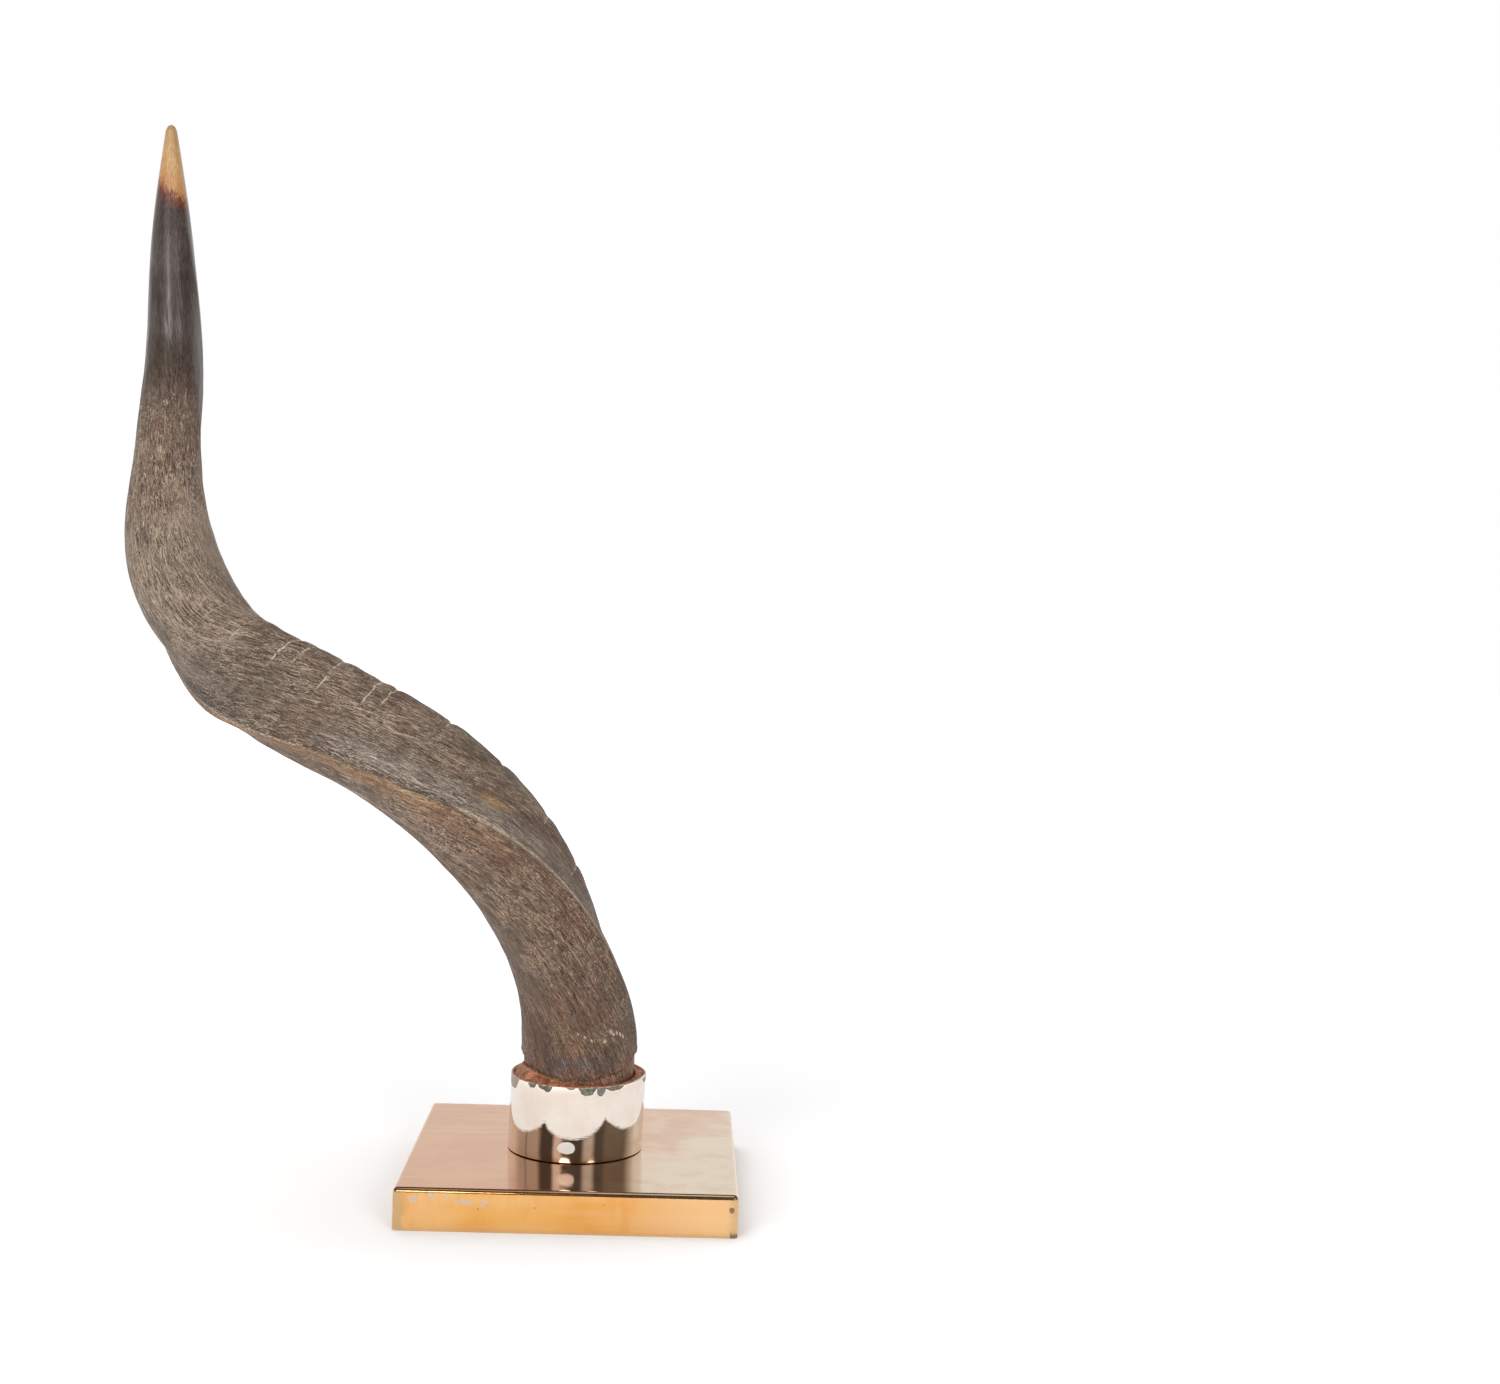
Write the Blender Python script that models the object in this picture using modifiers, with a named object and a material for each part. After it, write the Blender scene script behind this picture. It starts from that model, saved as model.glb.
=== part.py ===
"""A keeled antelope horn with a corkscrew twist, set in a polished ferrule on a square metal-covered foot.

The origin is at the centre of the foot's underside. +Z is up and +X runs to the right along the foot's front
edge, so the horn sweeps out to -X and rises again to its tip. Lengths are in metres.
"""
import math
from collections import namedtuple

import bmesh
import bpy
import numpy as np
from mathutils import Matrix, Vector

MM = 0.001

# Foot: a folded metal cover over a core
FOOT_SIDE = 203.2 * MM
FOOT_HEIGHT = 25.4 * MM
FOOT_EDGE_RADIUS = 3.0 * MM
SHEET_THICKNESS = 1.2 * MM
CORE_EDGE_RADIUS = 2.2 * MM

# Ferrule: a short tube that leans a little to the right
FERRULE_RADIUS = 42.4 * MM
FERRULE_HEIGHT = 47.5 * MM
FERRULE_WALL = 1.5 * MM
FERRULE_LIP = 0.4 * MM
FERRULE_LEAN = 1.2 * MM
FERRULE_SIDES = 64

# Bedding: setting compound that fills the ferrule round the horn's root
BEDDING_BELOW_RIM = 1.0 * MM
BEDDING_RISE = 1.5 * MM
BEDDING_CROWN_SHARE = 0.8
SEAT_CUTTER_LENGTH = 90 * MM

# Touching pieces keep this gap
GAP = 0.3 * MM

# Horn: stations on its middle line. Each gives the place, the two half-widths of the oval section, the keel's
# angle round the middle line in degrees (0 faces -Y, 90 faces +X) and how strongly the keel and grooves show.
Station = namedtuple("Station", "x y z half_long half_flat keel relief")
HORN_STATIONS = (
    Station(1, 3, 38, 36.0, 32.0, 120, 0.1),
    Station(1, 0, 68, 38.5, 33.5, 102, 0.3),
    Station(-13, -29, 156, 41.0, 31.5, 58, 0.9),
    Station(-57, -46, 232, 37.5, 31.5, 14, 1.0),
    Station(-115, -49, 277, 34.0, 27.5, -22, 1.0),
    Station(-176, -35, 305, 34.0, 26.5, -46, 1.0),
    Station(-225, -7, 333, 34.5, 30.0, -92, 1.0),
    Station(-265, 28, 384, 28.5, 29.5, -144, 0.9),
    Station(-279, 60, 439, 22.5, 27.5, -192, 0.6),
    Station(-281, 80, 510, 18.5, 19.5, -246, 0.4),
    Station(-283, 81, 588, 14.0, 14.0, -292, 0.2),
    Station(-281, 63, 666, 3.0, 3.0, -336, 0.0),
)

# Section: the oval's long way lies this far from the keel. Each form is its angle past the keel, its spread and
# its height as a share of the radius.
OVAL_TURN = 50
SECTION_FORMS = {
    "keel": (0, 13, 0.13),
    "groove beside the keel": (34, 20, -0.075),
    "low ridge": (-68, 18, 0.03),
    "back ridge": (128, 20, 0.035),
    "inner valley": (183, 26, -0.05),
}

HORN_RINGS = 68
HORN_SIDES = 48
TIP_ROUNDING = 5.0 * MM
TIP_RINGS = 4
LEDGE_ABOVE_ROOT = 50.0 * MM
LEDGE_DEPTH = 1.6 * MM
LEDGE_HEIGHT = 1.0 * MM
TANGENT_STEP = 1.0 * MM

MATERIALS = {
    "horn": ((0.17, 0.12, 0.09), 0.75, 0.0),
    "bedding": ((0.28, 0.10, 0.04), 0.9, 0.0),
    "ferrule": ((0.80, 0.76, 0.72), 0.08, 1.0),
    "base_cover": ((0.83, 0.52, 0.26), 0.15, 1.0),
    "base_block": ((0.35, 0.23, 0.13), 0.7, 0.0),
}


def clear_scene():
    """Remove what the open scene holds."""
    for thing in list(bpy.data.objects):
        bpy.data.objects.remove(thing, do_unlink=True)


def new_collection(name):
    group = bpy.data.collections.new(name)
    bpy.context.scene.collection.children.link(group)
    return group


def new_material(name):
    colour, roughness, metallic = MATERIALS[name]
    material = bpy.data.materials.new(name)
    material.use_nodes = True
    shader = material.node_tree.nodes["Principled BSDF"]
    shader.inputs["Base Color"].default_value = (*colour, 1)
    shader.inputs["Roughness"].default_value = roughness
    shader.inputs["Metallic"].default_value = metallic
    return material


def new_object(name, mesh, group):
    thing = bpy.data.objects.new(name, mesh)
    group.objects.link(thing)
    if name in MATERIALS:
        mesh.materials.append(new_material(name))
    return thing


def shade_smooth(mesh, degrees=35):
    mesh.shade_smooth()
    mesh.set_sharp_from_angle(angle=math.radians(degrees))


def evaluated_mesh(thing):
    """The object's mesh with its modifiers applied."""
    graph = bpy.context.evaluated_depsgraph_get()
    return bpy.data.meshes.new_from_object(thing.evaluated_get(graph), depsgraph=graph)


class Spline:
    """A natural cubic through rows of values that stand at the given distances."""

    def __init__(self, distances, rows):
        self.x = np.asarray(distances, float)
        self.rows = np.asarray(rows, float)
        last = len(self.x) - 1
        matrix = np.eye(last + 1)
        wanted = np.zeros_like(self.rows)
        step = np.diff(self.x)
        slope = np.diff(self.rows, axis=0) / step[:, None]
        for i in range(1, last):
            matrix[i, i - 1 : i + 2] = step[i - 1], 2 * (step[i - 1] + step[i]), step[i]
            wanted[i] = 6 * (slope[i] - slope[i - 1])
        self.bend = np.linalg.solve(matrix, wanted)

    def at(self, distance):
        i = int(np.clip(np.searchsorted(self.x, distance) - 1, 0, len(self.x) - 2))
        step = self.x[i + 1] - self.x[i]
        after = (distance - self.x[i]) / step
        before = 1 - after
        straight = before * self.rows[i] + after * self.rows[i + 1]
        curved = (before**3 - before) * self.bend[i] + (after**3 - after) * self.bend[i + 1]
        return straight + curved * step**2 / 6


def bump(angle, spread):
    """A smooth hill round angle 0, with angles in degrees round a full turn."""
    short_way = (angle + 180) % 360 - 180
    return math.exp(-((short_way / spread) ** 2))


def section_radius(angle, half_long, half_flat, relief):
    """Distance from the middle line to the surface, at an angle in degrees past the keel's crest."""
    turn = math.radians(angle + OVAL_TURN)
    oval = 1 / math.hypot(math.cos(turn) / half_long, math.sin(turn) / half_flat)
    raised = sum(height * bump(angle - place, spread) for place, spread, height in SECTION_FORMS.values())
    return oval * (1 + relief * raised)


def horn_spline():
    """The horn's stations as a spline over their distance along the middle line, and its full length."""
    rows = np.array(HORN_STATIONS, float) * ([MM] * 5 + [1, 1])
    spans = np.linalg.norm(np.diff(rows[:, :3], axis=0), axis=1)
    distances = np.concatenate([[0], np.cumsum(spans)])
    return Spline(distances, rows), distances[-1]


def ring_distances(length):
    """Places of the rings: even, with a close pair at the ledge and closer ones at the rounded tip."""
    even = np.linspace(0, length - TIP_ROUNDING, HORN_RINGS)
    step = even[1]
    away = even[np.abs(even - LEDGE_ABOVE_ROOT) > step / 3]
    pair = LEDGE_ABOVE_ROOT + np.array([-0.5, 0.5]) * LEDGE_HEIGHT
    quarter = np.linspace(0, math.pi / 2, TIP_RINGS + 2)[1:-1]
    tip = length - TIP_ROUNDING + TIP_ROUNDING * np.sin(quarter)
    return np.sort(np.concatenate([away, pair, tip]))


def horn_ring(spline, length, distance, grow):
    """The points of one section across the middle line."""
    *place, half_long, half_flat, keel, relief = spline.at(distance).tolist()
    ahead = spline.at(distance + TANGENT_STEP / 2)[:3]
    behind = spline.at(distance - TANGENT_STEP / 2)[:3]
    tangent = Vector(ahead - behind).normalized()
    front = Vector((0, -1, 0))
    front = (front - tangent * front.dot(tangent)).normalized()
    side = tangent.cross(front)
    into_tip = max(0, distance - (length - TIP_ROUNDING)) / TIP_ROUNDING
    narrowing = math.sqrt(1 - into_tip**2)
    ledge = LEDGE_DEPTH if distance < LEDGE_ABOVE_ROOT else 0
    points = []
    for k in range(HORN_SIDES):
        angle = 360 * k / HORN_SIDES
        radius = section_radius(angle, half_long, half_flat, relief) * narrowing - ledge + grow
        turn = math.radians(keel + angle)
        points.append(Vector(place) + radius * (math.cos(turn) * front + math.sin(turn) * side))
    return points


def horn_mesh(name, grow=0.0, start=0.0, end=None):
    """Loft of the horn's unlike sections. A grown copy of its root is the cutter for the bedding."""
    spline, length = horn_spline()
    distances = [d for d in ring_distances(length) if end is None or d < end]
    distances[0] -= start
    form = bmesh.new()
    rings = [[form.verts.new(p) for p in horn_ring(spline, length, d, grow)] for d in distances]
    for low, high in zip(rings, rings[1:]):
        for k in range(HORN_SIDES):
            after = (k + 1) % HORN_SIDES
            form.faces.new((low[k], low[after], high[after], high[k]))
    form.faces.new(reversed(rings[0]))
    if end is None:
        apex = form.verts.new(spline.at(length)[:3])
        for k in range(HORN_SIDES):
            form.faces.new((rings[-1][k], rings[-1][(k + 1) % HORN_SIDES], apex))
    else:
        form.faces.new(rings[-1])
    mesh = bpy.data.meshes.new(name)
    form.to_mesh(mesh)
    form.free()
    return mesh


def turned(name, profile, group, sides=FERRULE_SIDES):
    """A profile of (radius, height) pairs turned round +Z."""
    mesh = bpy.data.meshes.new(name)
    edges = [(i, i + 1) for i in range(len(profile) - 1)]
    mesh.from_pydata([(radius, 0, height) for radius, height in profile], edges, [])
    thing = new_object(name, mesh, group)
    screw = thing.modifiers.new("turn", "SCREW")
    screw.angle = 2 * math.pi
    screw.steps = sides
    screw.render_steps = sides
    screw.use_merge_vertices = True
    screw.merge_threshold = 0.00001
    return thing


def lean(thing):
    """Bake the turned shape and lean it with the ferrule, whose foot stays flat on the plate."""
    baked = evaluated_mesh(thing)
    thing.modifiers.clear()
    slide = Matrix.Identity(4)
    slide[0][2] = FERRULE_LEAN / FERRULE_HEIGHT
    baked.transform(slide)
    thing.data = baked


def make_horn(group):
    mesh = horn_mesh("horn")
    horn = new_object("horn", mesh, group)
    shade_smooth(mesh, 50)
    return horn


def make_ferrule(group):
    """An open tube from a single wall line, thickened inwards, with its lips eased."""
    ferrule = turned("ferrule", [(FERRULE_RADIUS, FERRULE_HEIGHT), (FERRULE_RADIUS, 0)], group)
    lean(ferrule)
    ferrule.location.z = FOOT_HEIGHT + GAP
    wall = ferrule.modifiers.new("wall", "SOLIDIFY")
    wall.thickness = FERRULE_WALL
    wall.offset = -1
    wall.use_even_offset = True
    lips = ferrule.modifiers.new("lips", "BEVEL")
    lips.width = FERRULE_LIP
    lips.segments = 1
    lips.limit_method = "ANGLE"
    shade_smooth(ferrule.data)
    return ferrule


def make_bedding(group, cutters):
    """A plug that fills the ferrule, with the horn's root cut out of it."""
    radius = FERRULE_RADIUS - FERRULE_WALL - GAP
    at_wall = FERRULE_HEIGHT - BEDDING_BELOW_RIM
    crown = at_wall + BEDDING_RISE
    profile = [(0, crown), (BEDDING_CROWN_SHARE * radius, crown), (radius, at_wall), (radius, 0), (0, 0)]
    bedding = turned("bedding", profile, group)
    lean(bedding)
    bedding.location.z = FOOT_HEIGHT + GAP
    root = new_object("root_cutter", horn_mesh("root_cutter", GAP, GAP, SEAT_CUTTER_LENGTH), cutters)
    root.hide_render = True
    root.display_type = "WIRE"
    seat = bedding.modifiers.new("seat", "BOOLEAN")
    seat.operation = "DIFFERENCE"
    seat.object = root
    shade_smooth(bedding.data)
    return bedding


def make_base_cover(group):
    """Five sides of a box, open underneath, rounded and given the sheet's thickness inwards."""
    bpy.ops.mesh.primitive_cube_add(size=1)
    cover = bpy.context.object
    cover.name = "base_cover"
    cover.data.name = "base_cover"
    cover.data.transform(Matrix.Diagonal((FOOT_SIDE, FOOT_SIDE, FOOT_HEIGHT, 1)))
    form = bmesh.new()
    form.from_mesh(cover.data)
    underside = [face for face in form.faces if face.normal.z < -0.5]
    bmesh.ops.delete(form, geom=underside, context="FACES_ONLY")
    form.to_mesh(cover.data)
    form.free()
    for holder in list(cover.users_collection):
        holder.objects.unlink(cover)
    group.objects.link(cover)
    cover.data.materials.append(new_material("base_cover"))
    cover.location.z = FOOT_HEIGHT / 2
    edges = cover.modifiers.new("rounded edges", "BEVEL")
    edges.width = FOOT_EDGE_RADIUS
    edges.segments = 5
    sheet = cover.modifiers.new("sheet", "SOLIDIFY")
    sheet.thickness = SHEET_THICKNESS
    sheet.offset = -1
    sheet.use_even_offset = True
    shade_smooth(cover.data)
    return cover


def make_base_block(group):
    """The core inside the cover, flush with the cover's lower edge."""
    side = FOOT_SIDE - 2 * (SHEET_THICKNESS + GAP)
    height = FOOT_HEIGHT - SHEET_THICKNESS - GAP
    bpy.ops.mesh.primitive_cube_add(size=1)
    block = bpy.context.object
    block.name = "base_block"
    block.data.name = "base_block"
    block.data.transform(Matrix.Diagonal((side, side, height, 1)))
    for holder in list(block.users_collection):
        holder.objects.unlink(block)
    group.objects.link(block)
    block.data.materials.append(new_material("base_block"))
    block.location.z = height / 2
    edges = block.modifiers.new("eased edges", "BEVEL")
    edges.width = CORE_EDGE_RADIUS
    edges.segments = 3
    edges.limit_method = "WEIGHT"
    weights = block.data.attributes.new("bevel_weight_edge", "FLOAT", "EDGE")
    for edge in block.data.edges:
        heights = [block.data.vertices[i].co.z for i in edge.vertices]
        weights.data[edge.index].value = 0 if max(heights) < 0 else 1
    return block


def main():
    clear_scene()
    group = new_collection("mounted_antelope_horn")
    cutters = new_collection("cutters")
    make_base_block(group)
    make_base_cover(group)
    make_ferrule(group)
    make_bedding(group, cutters)
    make_horn(group)


main()
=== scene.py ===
"""A mounted antelope horn, finished for a picture.

A twisted, keeled horn is set in a polished ferrule on a square, brass-covered foot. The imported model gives
the sizes. Lengths are in metres unless a comment says millimetres. +Z is up, the foot's front faces -Y, and
the horn sweeps out to -X. Angles on the horn are in degrees past the crest of its keel.
"""

import math
from collections import namedtuple

import bmesh
import bpy
import numpy as np
from mathutils import Matrix, Vector, noise as lattice


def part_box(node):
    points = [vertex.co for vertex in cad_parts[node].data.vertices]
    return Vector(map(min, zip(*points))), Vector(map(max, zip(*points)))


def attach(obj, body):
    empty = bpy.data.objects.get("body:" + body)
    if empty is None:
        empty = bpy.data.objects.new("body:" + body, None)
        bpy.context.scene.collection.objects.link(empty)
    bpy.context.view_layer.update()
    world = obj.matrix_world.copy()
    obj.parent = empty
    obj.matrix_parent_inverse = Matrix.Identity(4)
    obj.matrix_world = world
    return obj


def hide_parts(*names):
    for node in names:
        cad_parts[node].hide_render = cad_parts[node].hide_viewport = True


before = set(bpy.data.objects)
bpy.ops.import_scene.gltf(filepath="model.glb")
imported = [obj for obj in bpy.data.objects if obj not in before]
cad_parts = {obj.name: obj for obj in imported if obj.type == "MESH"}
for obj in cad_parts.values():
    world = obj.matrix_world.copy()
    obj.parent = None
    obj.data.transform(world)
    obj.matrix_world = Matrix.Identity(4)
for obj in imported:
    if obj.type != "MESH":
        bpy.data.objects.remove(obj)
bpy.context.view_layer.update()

bl_info = {
    "name": "Mounted antelope horn",
    "version": (1, 0, 0),
    "blender": (4, 5, 0),
    "location": "View3D > Sidebar > Horn",
    "description": "Grows the horn, turns its ferrule, fills it and finishes the foot",
    "category": "Object",
}

MM = 0.001

# The horn's middle line in millimetres and degrees, the same rule that shapes the solid
Station = namedtuple("Station", "x y z half_long half_flat keel relief")
HORN_STATIONS = (
    Station(1, 3, 38, 36.0, 32.0, 120, 0.1),
    Station(1, 0, 68, 38.5, 33.5, 102, 0.3),
    Station(-13, -29, 156, 41.0, 31.5, 58, 0.9),
    Station(-57, -46, 232, 37.5, 31.5, 14, 1.0),
    Station(-115, -49, 277, 34.0, 27.5, -22, 1.0),
    Station(-176, -35, 305, 34.0, 26.5, -46, 1.0),
    Station(-225, -7, 333, 34.5, 30.0, -92, 1.0),
    Station(-265, 28, 384, 28.5, 29.5, -144, 0.9),
    Station(-279, 60, 439, 22.5, 27.5, -192, 0.6),
    Station(-281, 80, 510, 18.5, 19.5, -246, 0.4),
    Station(-283, 81, 588, 14.0, 14.0, -292, 0.2),
    Station(-281, 63, 666, 3.0, 3.0, -336, 0.0),
)
# Forms of the section: degrees past the keel, spread in degrees, height as a share of the section
SECTION_FORMS = (
    (0, 13, 0.13),
    (34, 20, -0.075),
    (-68, 18, 0.03),
    (128, 20, 0.035),
    (183, 26, -0.05),
)
# Finer forms of the finished horn: the sharp lower side of the keel's crest and the crease above it
CREST_FORMS = (
    (-9, 9, 0.032),
    (4, 5, -0.030),
)
# Where along the horn they show, in millimetres, and the width of their fade
CREST_START, CREST_END, CREST_FADE = 90, 400, 50

# Lower end of the horn's outer layer, in millimetres, and where it stands out most, in degrees
LEDGE_ALONG = 50.0
LEDGE_SIDE = 15.0
LEDGE_RAGGED = 9 * MM
LEDGE_LIP = 0.4 * MM

MIDDLE_LINE_POINTS = 700
RING_CROWDING = 0.45
LUMP_DEPTH = 0.9 * MM
SKIN = 0.05 * MM

# Towards the tip the fibres turn less than the keel does, from here on along the horn, in millimetres
DRIFT_FROM = 400.0
DRIFT_FULL = 445.0
DRIFT_SHARE = 0.75

# The section whose fibres have the width given in the finish, in millimetres
THICK_SECTION = 35.0

# Crosswise growth lines on the horn's back ridge: millimetres along, from and to degrees past the keel
GROWTH_LINES = (
    (423, 116, 166), (398, 104, 160), (368, 94, 150), (357, 100, 124), (336, 76, 150), (311, 80, 150),
    (302, 86, 130), (268, 100, 150), (232, 96, 140), (196, 60, 120), (165, 40, 80),
)
# How far they stray, in millimetres
GROWTH_WANDER = 2.6

# Pale chips near the root: millimetres along, degrees past the keel, half-size in millimetres
CHIPS = (
    (76.4, -51, 0.9), (80.5, -41.5, 1.0), (78, -40, 0.7), (77.4, -36.5, 0.8), (74.8, -33, 0.8),
    (72.2, -30.5, 0.9), (86.7, -69, 0.6), (83.6, -64.5, 0.6), (80, -61, 0.6),
)

# Tarnish below the ferrule's rim: degrees round from the front, half-width in degrees, depth in millimetres
SCALLOPS = (
    (-72, 15, 8.0), (-39.5, 5.5, 3.4), (-29, 4, 3.0), (-23.5, 6, 4.4), (-2.5, 4.5, 1.8), (11, 7.5, 5.2),
    (22.5, 4.5, 5.8), (35, 10, 3.2), (84, 12, 4.0), (118, 16, 5.5), (160, 14, 3.5), (-118, 15, 4.5),
    (-155, 18, 5.0),
)

# The filling: distance from the ferrule's axis at which it starts to climb the horn, how much further in it
# has climbed in full, how deep its lumps reach below its top, and the size of its faces
CLIMB_FROM = 40.5 * MM
CLIMB_WIDTH = 7 * MM
LUMP_REACH = 5 * MM
FILLING_GRAIN = 0.9 * MM

# Worn spots on the foot's front face: millimetres from its left edge and below its top, then half-widths
PALE_SPOTS = (
    (12, 6.8, 2.6, 2.4), (22.7, 3.8, 2.6, 1.7), (43, 7.6, 4.6, 1.7), (53.5, 8.4, 2.2, 1.8),
    (32, 4.4, 1.6, 1.0),
)
DARK_SPOTS = (
    (199.3, 8.2, 1.5, 2.0), (201.5, 25, 3.2, 2.6), (83.5, 10.0, 0.45, 0.4), (124, 7.5, 0.4, 0.35),
    (50.3, 11.5, 0.5, 0.45),
)

# The photograph's view, with its turns in radians and its lens in millimetres
CAMERA_PLACE = Vector((0.0567, -1.3406, 0.3905))
CAMERA_YAW = 0.0331
CAMERA_PITCH = 0.0549
CAMERA_ROLL = -0.0345
CAMERA_LENS = 51.36

# What the lights face: the whole mount, and the horn's upper half
AIM = (-0.1, 0, 0.25)
AIM_HIGH = (-0.28, 0.08, 0.55)
FILL_GLOW_SHARE = 0.35

# The room round the table: degrees round from the front, brightness, warmth
ROOM = (
    (-126, 1.0, 1.0), (-106, 0.66, 0.95), (-93, 0.62, 0.95), (-90, 0.30, 0.95), (-87, 0.62, 0.95),
    (-66, 0.66, 0.95), (-57, 0.11, 0.9), (-38, 0.11, 0.9), (-32, 1.0, 1.0), (-24, 1.0, 1.0), (-17, 0.11, 0.9),
    (12, 0.11, 0.9), (19, 0.7, 1.0), (29, 0.7, 1.0), (37, 0.12, 0.9), (48, 0.13, 0.9), (56, 0.24, 0.85),
    (94, 0.22, 0.85), (108, 0.6, 0.95), (124, 1.0, 1.0),
)


def tone(red, green, blue):
    """The linear colour of a screen colour given as 0 to 255."""
    shares = (value / 255 for value in (red, green, blue))
    return tuple(s / 12.92 if s < 0.04 else ((s + 0.055) / 1.055) ** 2.4 for s in shares)


class Wire:
    """An output socket that can stand in an expression. Each operator adds a Math node to its tree.

    The operators between two values are set below, from OPERATIONS.
    """

    def __init__(self, net, socket):
        self.net = net
        self.socket = socket

    def out(self, name):
        """Another output of the same node."""
        return Wire(self.net, next(s for s in self.socket.node.outputs if s.enabled and s.name == name))

    def __neg__(self):
        return self.net.math("MULTIPLY", self, -1.0)

    def __abs__(self):
        return self.net.math("ABSOLUTE", self)


def set_operator(word, operation):
    """Give Wire an operator and its reflected form."""
    setattr(Wire, f"__{word}__", lambda self, other: self.net.math(operation, self, other))
    setattr(Wire, f"__r{word}__", lambda self, other: self.net.math(operation, other, self))


OPERATIONS = {"add": "ADD", "sub": "SUBTRACT", "mul": "MULTIPLY", "truediv": "DIVIDE", "pow": "POWER",
              "mod": "FLOORED_MODULO"}
for operator_word, node_operation in OPERATIONS.items():
    set_operator(operator_word, node_operation)


class Net:
    """A node tree under construction."""

    def __init__(self, tree):
        self.tree = tree

    def add(self, kind, settings=None, sockets=None):
        """One node: its settings first, then its sockets by name or number. Returns its first output."""
        node = self.tree.nodes.new(kind)
        for name, value in (settings or {}).items():
            if name == "stops":
                self.set_stops(node.color_ramp, value)
            else:
                setattr(node, name, value)
        for name, value in (sockets or {}).items():
            named = node.inputs[name] if isinstance(name, int) else next(
                s for s in node.inputs if s.enabled and s.name == name)
            if isinstance(value, Wire):
                self.tree.links.new(value.socket, named)
            elif named.type == "RGBA" and len(value) == 3:
                named.default_value = (*value, 1)
            else:
                named.default_value = value
        shown = [s for s in node.outputs if s.enabled]
        return Wire(self, shown[0]) if shown else None

    @staticmethod
    def set_stops(ramp, stops):
        while len(ramp.elements) < len(stops):
            ramp.elements.new(0.5)
        for element, (place, colour) in zip(ramp.elements, stops):
            element.position = place
            element.color = (*colour, 1)

    def math(self, operation, *values):
        return self.add("ShaderNodeMath", {"operation": operation}, dict(enumerate(values)))

    def arrow(self, operation, *values):
        """A Vector Math node."""
        return self.add("ShaderNodeVectorMath", {"operation": operation}, dict(enumerate(values)))

    def scaled(self, vector, factor):
        return self.add("ShaderNodeVectorMath", {"operation": "SCALE"}, {"Vector": vector, "Scale": factor})

    def vector(self, x, y, z):
        return self.add("ShaderNodeCombineXYZ", None, {"X": x, "Y": y, "Z": z})


def parts(vector):
    x = vector.net.add("ShaderNodeSeparateXYZ", None, {"Vector": vector})
    return x, x.out("Y"), x.out("Z")


def rise(value, low, high):
    """0 below low, 1 above high and smooth between. Falls instead where low is the larger."""
    if low > high:
        return 1 - rise(value, high, low)
    return value.net.add("ShaderNodeMapRange", {"interpolation_type": "SMOOTHSTEP"},
                         {"Value": value, "From Min": low, "From Max": high})


def hill(value, centre, spread):
    """1 at the centre, falling away smoothly on both sides."""
    return value.net.math("EXPONENT", -(((value - centre) / spread) ** 2))


def window(value, low, high, edge):
    """1 between low and high, with soft edges."""
    return rise(value, low - edge, low) * rise(value, high + edge, high)


def over(colour, *layers):
    """A colour with (share, colour) layers laid over it in turn."""
    for share, layer in layers:
        colour = mix(share, colour, layer)
    return colour


def most(first, second):
    """The larger of two values. The first is a wire."""
    return first.net.math("MAXIMUM", first, second)


def least(first, second):
    """The smaller of two values. The first is a wire."""
    return first.net.math("MINIMUM", first, second)


def cloud(vector, scale=1.0, detail=2.0, roughness=0.5, distortion=0.0):
    """Smooth noise round 0.5."""
    return vector.net.add("ShaderNodeTexNoise", None, {"Vector": vector, "Scale": scale, "Detail": detail,
                                                       "Roughness": roughness, "Distortion": distortion})


def mix(factor, first, second):
    """A colour between two."""
    return factor.net.add("ShaderNodeMix", {"data_type": "RGBA"}, {"Factor": factor, "A": first, "B": second})


def ramp(value, *stops):
    """A colour along a row of (place, colour) stops."""
    return value.net.add("ShaderNodeValToRGB", {"stops": stops}, {"Fac": value})


def short_way(value, place):
    """Degrees past a place, the short way round."""
    return (value - place + 180) % 360 - 180


def sector(value, start, end, edge):
    """1 between two angles in degrees, with soft edges."""
    half = (end - start) / 2
    return window(short_way(value, (start + end) / 2), -half, half, edge)


def length_choice(name, description, default, low=0.0):
    """A length among the settings."""
    return bpy.props.FloatProperty(name=name, description=description, default=default, min=low,
                                   unit="LENGTH")


def count_choice(name, description, default, low, high):
    """A number of faces or sections among the settings."""
    return bpy.props.IntProperty(name=name, description=description, default=default, min=low, max=high)


def strength_choice(name, description, default):
    """A strength or power among the settings."""
    return bpy.props.FloatProperty(name=name, description=description, default=default, min=0)


def colour_choice(name, description, *screen):
    """A colour among the settings, from its screen values of 0 to 255."""
    return bpy.props.FloatVectorProperty(name=name, description=description, default=tone(*screen),
                                         min=0, max=1, subtype="COLOR")


def new_finish(name, sockets):
    """A material and its tree. The sockets are the shader's own fixed values."""
    material = bpy.data.materials.new(name)
    material.use_nodes = True
    material.node_tree.nodes.clear()
    net = Net(material.node_tree)
    shader = net.add("ShaderNodeBsdfPrincipled", None, sockets)
    net.add("ShaderNodeOutputMaterial", None, {"Surface": shader})
    return material, net, shader.socket.node


def feed(shader, **wires):
    """Connect wires to the shader's sockets, named with underscores for spaces."""
    for name, wire in wires.items():
        wire.net.tree.links.new(wire.socket, shader.inputs[name.replace("_", " ")])


def relief(height, distance):
    """A normal from a height of 0 to 1 that stands for a distance in metres."""
    return height.net.add("ShaderNodeBump", None, {"Strength": 1.0, "Distance": distance, "Height": height})


def put(name, data):
    """A new object in the scene."""
    thing = bpy.data.objects.new(name, data)
    bpy.context.scene.collection.objects.link(thing)
    return thing


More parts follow.
